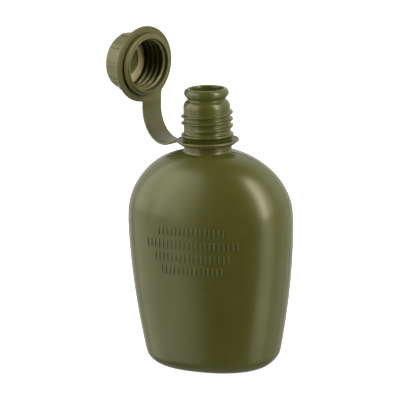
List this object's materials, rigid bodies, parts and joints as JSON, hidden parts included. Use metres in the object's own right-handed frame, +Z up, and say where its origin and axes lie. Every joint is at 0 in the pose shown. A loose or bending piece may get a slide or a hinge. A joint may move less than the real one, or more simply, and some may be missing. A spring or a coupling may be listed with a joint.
{
  "type": "water canteen",
  "caption": "Kidney-section plastic canteen with a threaded neck, a ribbed screw cap and a flexible strap that holds the cap.",
  "frame": {"origin": "centre of the base's rest face, on the neck's axis", "axes": "+Z up along the neck; X across the wide sides, with the open cap out to -X and a little to +Y; the convex front faces -Y and the hollow back +Y"},
  "size_m": [0.142, 0.0897, 0.2389],
  "materials": {
    "bottle_plastic": "satin olive-drab blow-moulded polyethylene",
    "cap_plastic": "satin olive-drab moulded plastic",
    "strap_plastic": "satin olive-drab flexible moulded plastic",
    "seal_rubber": "tan rubber seal ring"
  },
  "bodies": {
    "bottle": {"bottle": "bottle_plastic"},
    "collar": {"tether_collar": "strap_plastic"},
    "link_1": {"strap_link_1": "strap_plastic"},
    "link_2": {"strap_link_2": "strap_plastic"},
    "link_3": {"strap_link_3": "strap_plastic"},
    "link_4": {"strap_link_4": "strap_plastic"},
    "link_5": {"strap_link_5": "strap_plastic"},
    "ring": {"tether_ring": "strap_plastic"},
    "cap": {"screw_cap": "cap_plastic", "cap_seal": "seal_rubber"}
  },
  "joints": [
    {"name": "collar_swivel", "type": "hinge", "parent": "bottle", "child": "collar", "pos_m": [0, 0, 0.1615], "axis": [0, 0, 1], "range_deg": [0, 360]},
    {"name": "strap_lift", "type": "hinge", "parent": "collar", "child": "link_1", "pos_m": [-0.02633, 0.01091, 0.15902], "axis": [-0.3827, -0.9239, 0], "range_deg": [-69, 0], "stiffness_Nm_per_rad": 0.05},
    {"name": "strap_swing", "type": "hinge", "parent": "link_1", "child": "link_2", "pos_m": [-0.03399, 0.01408, 0.1571], "axis": [0.3827, 0.9239, 0], "range_deg": [0, 40], "stiffness_Nm_per_rad": 0.05},
    {"name": "lift_follow_2", "type": "hinge", "parent": "link_2", "child": "link_3", "pos_m": [-0.04329, 0.01793, 0.1587], "axis": [-0.3827, -0.9239, 0], "range_deg": [0, 82]},
    {"name": "cap_tip", "type": "hinge", "parent": "link_3", "child": "link_4", "pos_m": [-0.05146, 0.02131, 0.16455], "axis": [0.3827, 0.9239, 0], "range_deg": [0, 47], "stiffness_Nm_per_rad": 0.05},
    {"name": "lift_follow_4", "type": "hinge", "parent": "link_4", "child": "link_5", "pos_m": [-0.05569, 0.02307, 0.17121], "axis": [-0.3827, -0.9239, 0], "range_deg": [0, 63]},
    {"name": "lift_follow_ring", "type": "hinge", "parent": "link_5", "child": "ring", "pos_m": [-0.05778, 0.02393, 0.18285], "axis": [-0.3827, -0.9239, 0], "range_deg": [-76, 0]},
    {"name": "cap_turn", "type": "hinge", "parent": "ring", "child": "cap", "pos_m": [-0.0564, 0.02336, 0.21138], "axis": [0.9226, -0.3822, -0.0523], "range_deg": [0, 720]}
  ],
  "couplings": [
    {"joint": "lift_follow_2", "follows": "strap_lift", "ratio": -1.1884},
    {"joint": "lift_follow_4", "follows": "strap_lift", "ratio": -0.91304},
    {"joint": "lift_follow_ring", "follows": "strap_lift", "ratio": 1.1014}
  ]
}
